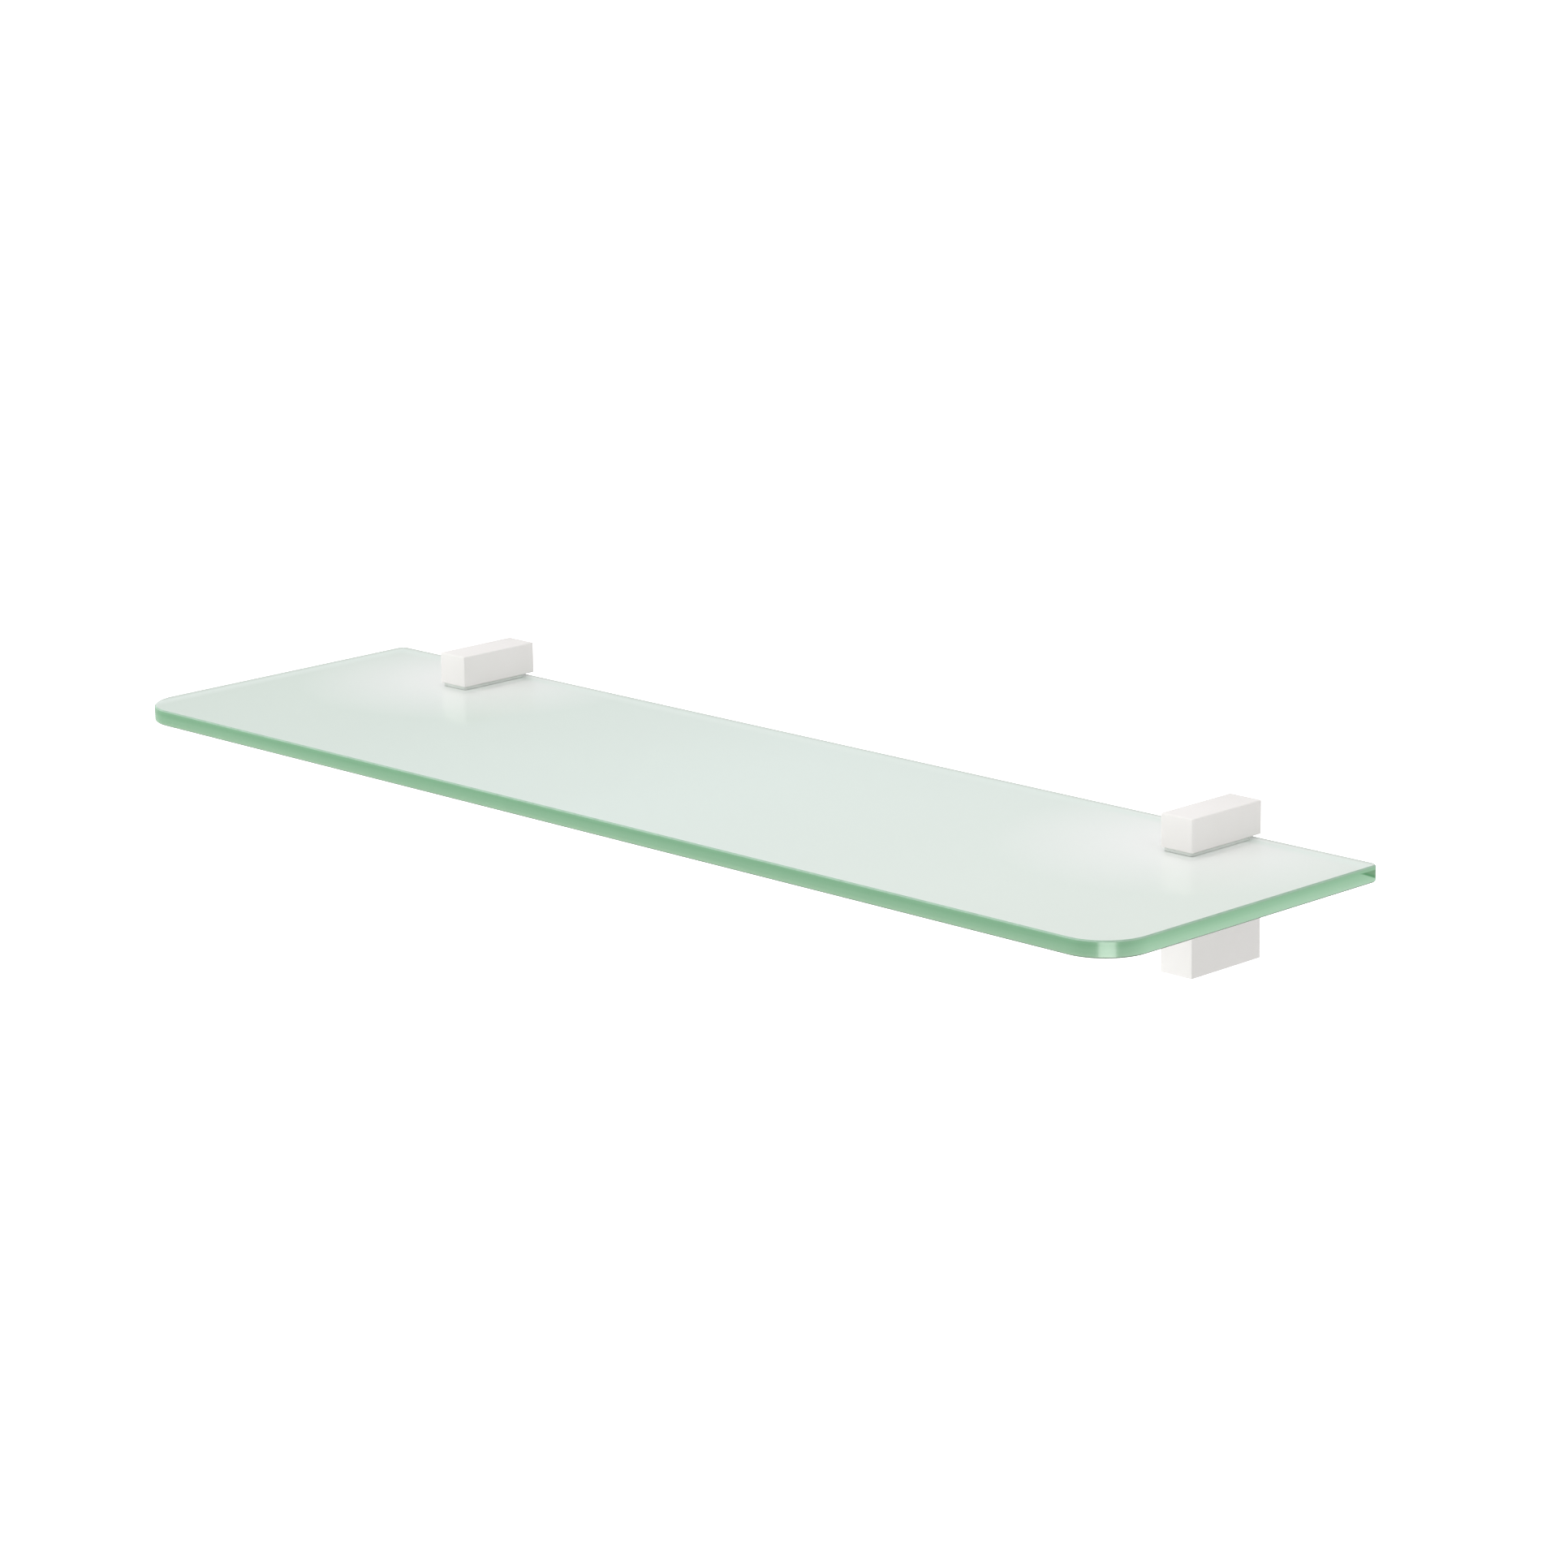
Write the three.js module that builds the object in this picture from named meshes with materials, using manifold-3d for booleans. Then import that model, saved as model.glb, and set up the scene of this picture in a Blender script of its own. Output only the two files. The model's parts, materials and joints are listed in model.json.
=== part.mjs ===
// A glass wall shelf held at its back edge by two clamp brackets.
//
// Each bracket is a lower block that slips over a wall plate, and an upper block. A clamp screw comes up
// through the lower block and a hole in the glass into the upper block, and pads lie above and below the
// glass.
//
// Millimetres. +X runs to the right along the wall, +Y points into the wall and +Z up. The origin is on
// the wall, midway between the two brackets, at the middle of the wall plates' height.

import * as THREE from 'three';
import { mergeVertices } from 'three/addons/utils/BufferGeometryUtils.js';
import Module from 'manifold-3d';

const manifold = await Module();
manifold.setup();

// ---------------------------------------------------------------- driving dimensions

// Glass shelf
const glassLength = 500;
const glassDepth = 135;
const glassThickness = 6;
const glassFrontRadius = 18;
const glassBackRadius = 3;
const glassArris = 0.5;
const glassHoleDiameter = 10;
const glassOffCentre = -7; // the glass's middle, measured from midway between the brackets

// Blocks
const bracketSpacing = 370;
const blockWidth = 14;
const blockDepth = 36;
const blockCornerRadius = 1.1;
const blockEdgeRounding = 0.7;
const upperBlockHeight = 12;
const lowerBlockHeight = 35.5;

// Pads
const upperPadThickness = 1.2;
const lowerPadThickness = 1;
const padInset = 0.6;
const padRearInset = 5; // the pads stop short of the wall
const padHoleClearance = 0.5; // radial, round the clamp screw

// Rear recess of the lower block, for the wall plate
const recessSideWall = 2;
const recessFloor = 5;
const recessRoof = 3.5;
const recessFrontPlay = 0.5;

// Wall plate: a folded clip with a web on the wall and a flange at the top and the bottom
const plateThickness = 2.5;
const flangeLength = 6.5;
const flangeThickness = 2;
const plateHoleDiameter = 4.4;
const plateHoleFromFlange = 4.7; // to the hole's middle
const countersinkDiameter = 8;

// Clamp screw, its washer, bush and thread insert
const screwFromWall = 20;
const screwDiameter = 4;
const screwHeadDiameter = 7;
const screwHeadHeight = 4;
const screwSocket = 3; // across flats
const screwSocketDepth = 2.2;
const screwEngagement = 7.5;
const screwTipChamfer = 0.5;
const headChamfer = 0.4;
const washerRim = 0.3; // how far the washer stands out all round the head
const washerThickness = 0.8;
const wellClearance = 0.4; // radial, round the washer
const wellRoof = 6; // metal left between the well and the glass seat
const insertWall = 0.9;
const insertLength = 8;
const insertBoreSpare = 0.6; // the bore is this much deeper than the insert
const insertGrooveDepth = 0.4;
const insertGrooveWidth = 1.2;

// Grub screw
const grubDiameter = 4;
const grubSocket = 2; // across flats
const grubSocketDepth = 2;
const grubRecessed = 0.4; // how far its outer end lies inside the block's underside
const grubChamfer = 0.4;

// Clearances
const seatGap = 0.05; // between faces that rest on each other
const threadClearance = 0.3; // radial, between a screw and the hole it runs in
const insertClearance = 0.3; // radial, between the thread insert and its bore
const bushClearance = 0.3; // radial, between the bush and the glass
const bushEndGap = 0.1;
const plateClearance = 0.3; // round the wall plate, inside the recess

// ---------------------------------------------------------------- heights, from the bottom up

const lowerBlockBottom = -(recessFloor + lowerBlockHeight - recessRoof) / 2;
const lowerBlockTop = lowerBlockBottom + lowerBlockHeight;
const lowerPadBottom = lowerBlockTop + seatGap;
const glassBottom = lowerPadBottom + lowerPadThickness + seatGap;
const glassTop = glassBottom + glassThickness;
const upperPadBottom = glassTop + seatGap;
const upperBlockBottom = upperPadBottom + upperPadThickness + seatGap;
const wellTop = lowerBlockTop - wellRoof;

// ---------------------------------------------------------------- sizes that follow the clamp screw

const runningDiameter = screwDiameter + 2 * threadClearance;
const insertDiameter = runningDiameter + 2 * insertWall;
const washerDiameter = screwHeadDiameter + 2 * washerRim;
const wellDiameter = washerDiameter + 2 * wellClearance;

// ---------------------------------------------------------------- materials

const material = (color, roughness, metalness, opacity = 1) =>
  new THREE.MeshStandardMaterial({ color, roughness, metalness, opacity, transparent: opacity < 1 });

const satinGlass = material(0xdfe9e3, 0.45, 0, 0.75);
const whitePaint = material(0xf1efec, 0.4, 0);
const clearPad = material(0xb4bdb4, 0.6, 0);
const steel = material(0xb9bcc0, 0.35, 1);
const brass = material(0xc9a45c, 0.35, 1);
const nylon = material(0xeceae2, 0.55, 0);

// ---------------------------------------------------------------- solids

const wideCurveSteps = 8; // steps in an eighth of a turn, on the glass and on holes
const tightCurveSteps = 2; // and on the blocks' small corners
const roundSides = 32;
const roundingSteps = 3; // steps in a rounded edge
const chamferSteps = 1;
const mergeDistance = 1e-5;
const overshoot = 1; // how far a cutter runs past the face it cuts

// A closed geometry as a solid that can be joined and cut.
function toSolid(geometry) {
  const bare = geometry.clone();
  bare.deleteAttribute('normal');
  bare.deleteAttribute('uv');
  const merged = mergeVertices(bare, mergeDistance);
  const vertProperties = new Float32Array(merged.attributes.position.array);
  const triVerts = new Uint32Array(merged.index.array);
  return new manifold.Manifold(new manifold.Mesh({ numProp: 3, vertProperties, triVerts }));
}

// A solid as a geometry with flat faces.
function toGeometry(solid) {
  const mesh = solid.getMesh();
  const geometry = new THREE.BufferGeometry();
  geometry.setAttribute('position', new THREE.BufferAttribute(mesh.vertProperties, 3));
  geometry.setIndex(new THREE.BufferAttribute(mesh.triVerts, 1));
  geometry.computeVertexNormals();
  return geometry;
}

// The body geometry with every cutter taken away.
function cut(body, cutters) {
  let solid = toSolid(body);
  for (const cutter of cutters) {
    solid = solid.subtract(toSolid(cutter));
  }
  return toGeometry(solid);
}

// A rectangle's outline, from (left, back) to (right, front), with its own radius at the back corners
// and at the front ones.
function roundedOutline(left, right, front, back, frontRadius, backRadius) {
  const outline = new THREE.Shape();
  outline.absarc(left + frontRadius, front + frontRadius, frontRadius, Math.PI, Math.PI * 1.5);
  outline.absarc(right - frontRadius, front + frontRadius, frontRadius, Math.PI * 1.5, Math.PI * 2);
  outline.absarc(right - backRadius, back - backRadius, backRadius, 0, Math.PI / 2);
  outline.absarc(left + backRadius, back - backRadius, backRadius, Math.PI / 2, Math.PI);
  outline.closePath();
  return outline;
}

// An outline raised from zLow to zHigh, with its upper and lower edges eased by `easing`.
function slab(outline, zLow, zHigh, easing, easingSteps, curveSegments) {
  const geometry = new THREE.ExtrudeGeometry(outline, {
    depth: zHigh - zLow - 2 * easing,
    bevelEnabled: easing > 0,
    bevelThickness: easing,
    bevelSize: easing,
    bevelOffset: -easing,
    bevelSegments: easingSteps,
    curveSegments,
  });
  geometry.translate(0, 0, zLow + easing);
  return geometry;
}

function circle(x, y, diameter) {
  const hole = new THREE.Path();
  hole.absarc(x, y, diameter / 2, 0, Math.PI * 2, true);
  return hole;
}

function box(xLow, xHigh, yLow, yHigh, zLow, zHigh) {
  const geometry = new THREE.BoxGeometry(xHigh - xLow, yHigh - yLow, zHigh - zLow);
  geometry.translate((xLow + xHigh) / 2, (yLow + yHigh) / 2, (zLow + zHigh) / 2);
  return geometry;
}

// An upright prism or rod about the point (0, y).
function rod(diameter, y, zLow, zHigh, sides = roundSides) {
  const geometry = new THREE.CylinderGeometry(diameter / 2, diameter / 2, zHigh - zLow, sides);
  geometry.rotateX(Math.PI / 2);
  geometry.translate(0, y, (zLow + zHigh) / 2);
  return geometry;
}

// A hexagonal socket's cutter, by its size across flats.
function hexSocket(acrossFlats, y, zLow, zHigh) {
  return rod(acrossFlats / Math.cos(Math.PI / 6), y, zLow, zHigh, 6);
}

// A profile of [radius, z] points turned about the vertical line through (0, y).
function turned(profile, y) {
  const points = profile.map(([radius, z]) => new THREE.Vector2(radius, z));
  const geometry = new THREE.LatheGeometry(points, roundSides);
  geometry.rotateX(Math.PI / 2);
  geometry.translate(0, y, 0);
  return geometry;
}

// A ring: a tube's closed profile, bore first, turned about the screw's axis.
function ring(boreDiameter, outerDiameter, zLow, zHigh) {
  const bore = boreDiameter / 2;
  const outer = outerDiameter / 2;
  return turned([[bore, zLow], [outer, zLow], [outer, zHigh], [bore, zHigh], [bore, zLow]], -screwFromWall);
}

// ---------------------------------------------------------------- glass

function glassShelf() {
  const left = glassOffCentre - glassLength / 2;
  const right = glassOffCentre + glassLength / 2;
  const outline = roundedOutline(left, right, -glassDepth, 0, glassFrontRadius, glassBackRadius);
  for (const side of [-1, 1]) {
    outline.holes.push(circle(side * bracketSpacing / 2, -screwFromWall, glassHoleDiameter));
  }
  return slab(outline, glassBottom, glassTop, glassArris, chamferSteps, wideCurveSteps);
}

// ---------------------------------------------------------------- one bracket, about x = 0

function block(zLow, zHigh) {
  const half = blockWidth / 2;
  const outline = roundedOutline(-half, half, -blockDepth, 0, blockCornerRadius, blockCornerRadius);
  return slab(outline, zLow, zHigh, blockEdgeRounding, roundingSteps, tightCurveSteps);
}

function upperBlock() {
  const boreTop = upperBlockBottom + seatGap + insertLength + insertBoreSpare;
  const boreDiameter = insertDiameter + 2 * insertClearance;
  return cut(block(upperBlockBottom, upperBlockBottom + upperBlockHeight), [
    rod(boreDiameter, -screwFromWall, upperBlockBottom - overshoot, boreTop),
  ]);
}

const recessDepth = plateThickness + flangeLength + recessFrontPlay;
const grubFromWall = plateThickness + flangeLength / 2;
const recessBottom = lowerBlockBottom + recessFloor;
const recessTop = lowerBlockTop - recessRoof;

function lowerBlock() {
  const recessHalf = blockWidth / 2 - recessSideWall;
  const grubHole = grubDiameter + 2 * threadClearance;
  return cut(block(lowerBlockBottom, lowerBlockTop), [
    box(-recessHalf, recessHalf, -recessDepth, overshoot, recessBottom, recessTop),
    rod(wellDiameter, -screwFromWall, lowerBlockBottom - overshoot, wellTop),
    rod(runningDiameter, -screwFromWall, wellTop - overshoot, lowerBlockTop + overshoot),
    rod(grubHole, -grubFromWall, lowerBlockBottom - overshoot, recessBottom + overshoot),
  ]);
}

function pad(zLow, thickness) {
  const half = blockWidth / 2 - padInset;
  const front = -blockDepth + padInset;
  const outline = roundedOutline(-half, half, front, -padRearInset, blockCornerRadius, blockCornerRadius);
  outline.holes.push(circle(0, -screwFromWall, screwDiameter + 2 * padHoleClearance));
  return slab(outline, zLow, zLow + thickness, 0, chamferSteps, wideCurveSteps);
}

function glassBush() {
  return ring(
    runningDiameter,
    glassHoleDiameter - 2 * bushClearance,
    glassBottom + bushEndGap,
    glassTop - bushEndGap,
  );
}

// The insert is grooved round its middle, as one that is pressed in is.
function threadInsert() {
  const bore = runningDiameter / 2;
  const outer = insertDiameter / 2;
  const groove = outer - insertGrooveDepth;
  const zLow = upperBlockBottom + seatGap;
  const zHigh = zLow + insertLength;
  const grooveLow = (zLow + zHigh - insertGrooveWidth) / 2;
  const grooveHigh = grooveLow + insertGrooveWidth;
  const profile = [
    [bore, zLow],
    [outer, zLow],
    [outer, grooveLow],
    [groove, grooveLow],
    [groove, grooveHigh],
    [outer, grooveHigh],
    [outer, zHigh],
    [bore, zHigh],
    [bore, zLow],
  ];
  return turned(profile, -screwFromWall);
}

const washerBottom = wellTop - seatGap - washerThickness;

function clampWasher() {
  return ring(runningDiameter, washerDiameter, washerBottom, wellTop - seatGap);
}

function clampScrew() {
  const head = screwHeadDiameter / 2;
  const shank = screwDiameter / 2;
  const headTop = washerBottom - seatGap;
  const headBottom = headTop - screwHeadHeight;
  const tip = upperBlockBottom + screwEngagement;
  const profile = [
    [0, headBottom],
    [head - headChamfer, headBottom],
    [head, headBottom + headChamfer],
    [head, headTop],
    [shank, headTop],
    [shank, tip - screwTipChamfer],
    [shank - screwTipChamfer, tip],
    [0, tip],
  ];
  return cut(turned(profile, -screwFromWall), [
    hexSocket(screwSocket, -screwFromWall, headBottom - overshoot, headBottom + screwSocketDepth),
  ]);
}

function grubScrew() {
  const radius = grubDiameter / 2;
  const zLow = lowerBlockBottom + grubRecessed;
  const zHigh = recessBottom;
  const profile = [
    [0, zLow],
    [radius - grubChamfer, zLow],
    [radius, zLow + grubChamfer],
    [radius, zHigh - grubChamfer],
    [radius - grubChamfer, zHigh],
    [0, zHigh],
  ];
  return cut(turned(profile, -grubFromWall), [
    hexSocket(grubSocket, -grubFromWall, zLow - overshoot, zLow + grubSocketDepth),
  ]);
}

// A countersunk screw hole through the plate's web, along Y, at height z.
function plateHole(z) {
  const radius = plateHoleDiameter / 2;
  const sinkRadius = countersinkDiameter / 2;
  const sinkDepth = sinkRadius - radius;
  const profile = [
    [0, -plateThickness - overshoot],
    [sinkRadius, -plateThickness - overshoot],
    [sinkRadius, -plateThickness],
    [radius, -plateThickness + sinkDepth],
    [radius, overshoot],
    [0, overshoot],
  ];
  const points = profile.map(([r, y]) => new THREE.Vector2(r, y));
  const cutter = new THREE.LatheGeometry(points, roundSides);
  cutter.translate(0, 0, z);
  return cutter;
}

function wallPlate() {
  const half = blockWidth / 2 - recessSideWall - plateClearance;
  const zLow = recessBottom + plateClearance;
  const zHigh = recessTop - plateClearance;
  const inner = new THREE.Shape();
  inner.moveTo(0, zLow);
  inner.lineTo(0, zHigh);
  inner.lineTo(-plateThickness - flangeLength, zHigh);
  inner.lineTo(-plateThickness - flangeLength, zHigh - flangeThickness);
  inner.lineTo(-plateThickness, zHigh - flangeThickness);
  inner.lineTo(-plateThickness, zLow + flangeThickness);
  inner.lineTo(-plateThickness - flangeLength, zLow + flangeThickness);
  inner.lineTo(-plateThickness - flangeLength, zLow);
  inner.closePath();
  const clip = new THREE.ExtrudeGeometry(inner, { depth: 2 * half, bevelEnabled: false });
  // The profile is drawn in (y, z) and raised along x.
  clip.applyMatrix4(new THREE.Matrix4().set(0, 0, 1, -half, 1, 0, 0, 0, 0, 1, 0, 0, 0, 0, 0, 1));
  return cut(clip, [
    plateHole(zLow + flangeThickness + plateHoleFromFlange),
    plateHole(zHigh - flangeThickness - plateHoleFromFlange),
  ]);
}

// ---------------------------------------------------------------- assembly

function part(name, geometry, finish) {
  const mesh = new THREE.Mesh(geometry, finish);
  mesh.name = name;
  return mesh;
}

function bracket(side) {
  const group = new THREE.Group();
  group.add(
    part(`${side}_upper_block`, upperBlock(), whitePaint),
    part(`${side}_thread_insert`, threadInsert(), brass),
    part(`${side}_upper_pad`, pad(upperPadBottom, upperPadThickness), clearPad),
    part(`${side}_glass_bush`, glassBush(), nylon),
    part(`${side}_lower_pad`, pad(lowerPadBottom, lowerPadThickness), clearPad),
    part(`${side}_lower_block`, lowerBlock(), whitePaint),
    part(`${side}_clamp_washer`, clampWasher(), steel),
    part(`${side}_clamp_screw`, clampScrew(), steel),
    part(`${side}_grub_screw`, grubScrew(), steel),
    part(`${side}_wall_plate`, wallPlate(), steel),
  );
  return group;
}

const shelf = new THREE.Group();
shelf.add(part('glass_shelf', glassShelf(), satinGlass));

const leftBracket = bracket('left');
leftBracket.position.x = -bracketSpacing / 2;
const rightBracket = bracket('right');
rightBracket.position.x = bracketSpacing / 2;
shelf.add(leftBracket, rightBracket);

export default shelf;
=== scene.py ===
"""The looks of a glass wall shelf on two clamp brackets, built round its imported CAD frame.

Every CAD node is replaced by a finer piece of the same size in the same place. Metres, +X right along
the wall, +Y into the wall, +Z up.
"""
import json
import math

import bmesh
import bpy
from mathutils import Matrix, Quaternion, Vector


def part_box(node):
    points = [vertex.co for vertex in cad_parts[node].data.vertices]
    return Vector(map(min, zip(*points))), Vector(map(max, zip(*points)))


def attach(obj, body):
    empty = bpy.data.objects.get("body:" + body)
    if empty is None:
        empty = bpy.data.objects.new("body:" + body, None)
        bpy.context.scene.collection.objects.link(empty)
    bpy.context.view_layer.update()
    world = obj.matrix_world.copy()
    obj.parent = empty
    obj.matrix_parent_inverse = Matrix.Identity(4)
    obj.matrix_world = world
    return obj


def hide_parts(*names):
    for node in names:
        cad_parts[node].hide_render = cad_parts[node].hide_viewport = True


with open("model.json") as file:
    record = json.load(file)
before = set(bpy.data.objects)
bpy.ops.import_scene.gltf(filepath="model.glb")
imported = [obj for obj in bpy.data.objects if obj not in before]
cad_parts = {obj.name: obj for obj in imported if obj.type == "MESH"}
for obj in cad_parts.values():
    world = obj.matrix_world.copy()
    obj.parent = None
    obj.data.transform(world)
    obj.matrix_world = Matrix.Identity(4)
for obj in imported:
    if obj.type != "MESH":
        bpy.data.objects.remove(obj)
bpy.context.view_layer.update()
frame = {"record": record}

MM = 0.001
SIDES = ("left", "right")
ROUND = 64                        # sides of a turned piece
SCREW_SIDES = 48
INSERT_SIDES = 96                 # even, because every second one is a groove of the knurl
QUARTER = math.pi / 2
SHARP_ANGLE = math.radians(32)    # an edge is shaded sharp where its faces meet at more than this

# ------------------------------------------------------------------ sizes that the boxes don't give

GLASS_FRONT_RADIUS = 18 * MM
GLASS_BACK_RADIUS = 3 * MM
GLASS_ARRIS = 0.5 * MM
GLASS_HOLE = 5 * MM               # radius
WEDGE_LENGTH = 10 * MM            # of the painted reflection, a darker wedge at the back of each end of the glass
WEDGE_TOP = 0.8                   # of the edge's height
RIM_START = 1.2 * MM              # the painted grey shade along the glass's faces fades from here, in from the edge
RIM_END = 3 * MM
BAND = (2.5 * MM, 4.5 * MM, 5 * MM, 9.5 * MM)    # a painted band of light inside the rim: starts, full, fades, ends
POOL = (10 * MM, 70 * MM)         # the painted pool of light beside an upper block: fades from, ends
BLOCK_ROUNDING = 0.45 * MM
RIM_CHAMFER = 0.25 * MM           # round the holes in the blocks
RUNNING_HOLE = 2.3 * MM           # radius, for the clamp screw
WELL = 4.2 * MM                   # radius
WELL_ROOF = 6 * MM
GRUB_HOLE = 2.3 * MM              # radius
RECESS_WALL = 2 * MM
RECESS_FLOOR = 5 * MM
RECESS_ROOF = 3.5 * MM
RECESS_DEPTH = 9.5 * MM
RECESS_CORNER = 0.8 * MM
INSERT_BORE = 3.5 * MM            # radius, in the upper block
INSERT_BORE_DEPTH = 8.65 * MM
PAD_CORNER = 1.1 * MM             # radius
PAD_EASING = 0.2 * MM
PAD_HOLE = 2.5 * MM               # radius
PLATE_THICKNESS = 2.5 * MM
PLATE_FLANGE = 2 * MM
PLATE_HOLE = 2.2 * MM             # radius
PLATE_SINK = 4 * MM               # radius
PLATE_HOLE_FROM_FLANGE = 4.7 * MM
PLATE_BEND = 1 * MM               # inner radius
PLATE_EASING = 0.15 * MM
KNURL_DEPTH = 0.12 * MM
SCREW_HEAD_HEIGHT = 4 * MM
SCREW_RADIUS = 2 * MM
THREAD_PITCH = 0.7 * MM
THREAD_DEPTH = 0.38 * MM
THREAD_FLANK = 0.42               # of a pitch, from a trough's middle to the crest
RINGS_PER_PITCH = 8
CLAMP_SOCKET = 3 * MM             # across flats
CLAMP_SOCKET_DEPTH = 2.2 * MM
GRUB_SOCKET = 2 * MM              # across flats
GRUB_SOCKET_DEPTH = 2 * MM

# ------------------------------------------------------------------ stage and camera settings

FLOOR_HEIGHT = -1.2
FLOOR_WIDTH = 120
SHEET_ABOVE_FLOOR = 10 * MM
# the view tool's clip distance is only a little over twice this
BACKDROP_RADIUS = 12              # radius of the white backdrop round the shelf
SKY_STRENGTH = 0.76
CAMERA_AIM = Vector((0.0254, 0.011, 0))    # from the middle of the glass's top
CAMERA_DISTANCE = 1.738
CAMERA_AZIMUTH = math.radians(45.52)
CAMERA_ELEVATION = math.radians(14.22)
CAMERA_ROLL = math.radians(-0.89)
CAMERA_LENS = 111.9               # in mm, like the sensor
CAMERA_SENSOR = 36

BODY_OF = {node: body for body, nodes in frame["record"]["behaviour"]["bodies"].items() for node in nodes}


# ------------------------------------------------------------------ materials

class Nodes:
    """A material's node tree with short ways to add and join nodes."""

    def __init__(self, name):
        self.material = bpy.data.materials.new(name)
        self.material.use_nodes = True
        self.tree = self.material.node_tree
        self.shader = self.tree.nodes["Principled BSDF"]
        self.place = self.tree.nodes.new("ShaderNodeTexCoord").outputs["Object"]

    def set(self, **values):
        for name, value in values.items():
            self.shader.inputs[name.replace("_", " ")].default_value = value

    def link(self, output, socket):
        self.tree.links.new(output, self.shader.inputs[socket] if isinstance(socket, str) else socket)

    def noise(self, scale, detail=3.0, roughness=0.5, stretch=None):
        node = self.tree.nodes.new("ShaderNodeTexNoise")
        node.inputs["Scale"].default_value = scale
        node.inputs["Detail"].default_value = detail
        node.inputs["Roughness"].default_value = roughness
        self.link(self.stretched(stretch) if stretch else self.place, node.inputs["Vector"])
        return node.outputs["Fac"]

    def grain(self, scale, detail, to_low=0.0, to_high=1.0, roughness=0.5, stretch=None):
        """Noise spread over to_low..to_high. Nearly all of a noise lies between 0.3 and 0.7."""
        return self.span(self.noise(scale, detail, roughness, stretch), 0.3, 0.7, to_low, to_high)

    def stretched(self, scale):
        node = self.tree.nodes.new("ShaderNodeMapping")
        node.inputs["Scale"].default_value = scale
        self.link(self.place, node.inputs["Vector"])
        return node.outputs["Vector"]

    def ramp(self, factor, stops):
        """A colour ramp, whose stops are (place, (r, g, b))."""
        node = self.tree.nodes.new("ShaderNodeValToRGB")
        elements = node.color_ramp.elements
        while len(elements) < len(stops):
            elements.new(0.5)
        for element, (place, colour) in zip(elements, stops):
            element.position = place
            element.color = (*colour, 1)
        self.link(factor, node.inputs["Fac"])
        return node.outputs["Color"]

    def span(self, value, low, high, to_low=0.0, to_high=1.0):
        """value carried from low..high to to_low..to_high, and held at the ends."""
        node = self.tree.nodes.new("ShaderNodeMapRange")
        for name, number in zip(("From Min", "From Max", "To Min", "To Max"), (low, high, to_low, to_high)):
            node.inputs[name].default_value = number
        self.link(value, node.inputs["Value"])
        return node.outputs["Result"]

    def axis(self, letter):
        node = self.tree.nodes.new("ShaderNodeSeparateXYZ")
        self.link(self.place, node.inputs["Vector"])
        return node.outputs[letter]

    def mix(self, factor, a, b, blend="MIX"):
        """Colours a and b, each an output or (r, g, b), mixed by factor, an output or a number."""
        node = self.tree.nodes.new("ShaderNodeMix")
        node.data_type = "RGBA"
        node.blend_type = blend
        colours = [socket for socket in node.inputs if socket.type == "RGBA"]
        for socket, value in ((node.inputs["Factor"], factor), (colours[0], a), (colours[1], b)):
            if isinstance(value, tuple):
                socket.default_value = (*value, 1)
            elif isinstance(value, (int, float)):
                socket.default_value = value
            else:
                self.link(value, socket)
        return [socket for socket in node.outputs if socket.type == "RGBA"][0]

    def math(self, operation, a, b):
        node = self.tree.nodes.new("ShaderNodeMath")
        node.operation = operation
        for socket, value in zip(node.inputs, (a, b)):
            if isinstance(value, (int, float)):
                socket.default_value = value
            else:
                self.link(value, socket)
        return node.outputs["Value"]

    def least(self, first, *others):
        for other in others:
            first = self.math("MINIMUM", first, other)
        return first

    def distance(self, point):
        """How far the surface is from a point."""
        node = self.tree.nodes.new("ShaderNodeVectorMath")
        node.operation = "DISTANCE"
        node.inputs[1].default_value = point
        self.link(self.place, node.inputs[0])
        return node.outputs["Value"]

    def bump(self, height, strength, distance):
        node = self.tree.nodes.new("ShaderNodeBump")
        node.inputs["Strength"].default_value = strength
        node.inputs["Distance"].default_value = distance
        self.link(height, node.inputs["Height"])
        self.link(node.outputs["Normal"], "Normal")


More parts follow.
